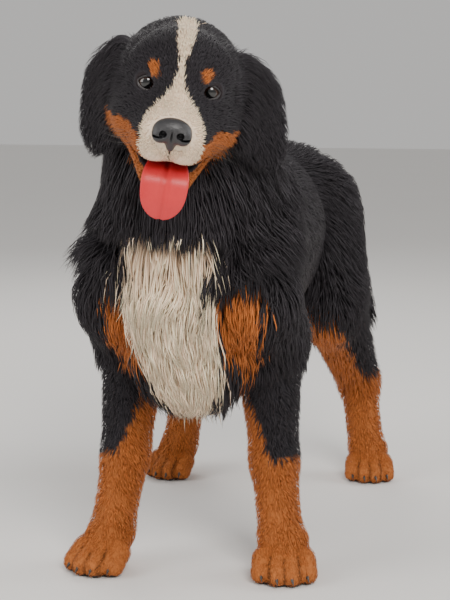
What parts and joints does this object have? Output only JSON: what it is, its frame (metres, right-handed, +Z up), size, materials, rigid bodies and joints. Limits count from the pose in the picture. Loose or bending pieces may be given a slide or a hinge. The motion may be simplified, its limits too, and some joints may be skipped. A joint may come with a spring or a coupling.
{
  "type": "standing long-haired mountain dog",
  "caption": "Life-size standing long-haired mountain dog in a black, rust and white coat, head turned a little to its left, mouth open and tongue out.",
  "frame": {"origin": "on the floor, under the middle of the whole animal's length and width", "axes": "+Z up, the animal faces -Y, and its left side is +X"},
  "size_m": [0.477, 1.0918, 0.8539],
  "materials": {
    "black_coat": "long soft hair",
    "rust_coat": "short hair",
    "nose_leather": "moist pebbled skin",
    "eye": "wet gloss",
    "tongue": "moist skin"
  },
  "bodies": {
    "root": {"ear_left": "black_coat", "ear_right": "black_coat", "eye_left": "eye", "eye_right": "eye", "foreleg_left": "rust_coat", "foreleg_right": "rust_coat", "forepaw_left": "rust_coat", "forepaw_right": "rust_coat", "head": "black_coat", "hind_pastern_left": "rust_coat", "hind_pastern_right": "rust_coat", "hind_paw_left": "rust_coat", "hind_paw_right": "rust_coat", "lower_jaw": "rust_coat", "neck": "black_coat", "nose": "nose_leather", "shank_left": "rust_coat", "shank_right": "rust_coat", "tail": "black_coat", "thigh_left": "black_coat", "thigh_right": "black_coat", "tongue": "tongue", "torso": "black_coat"}
  },
  "joints": []
}
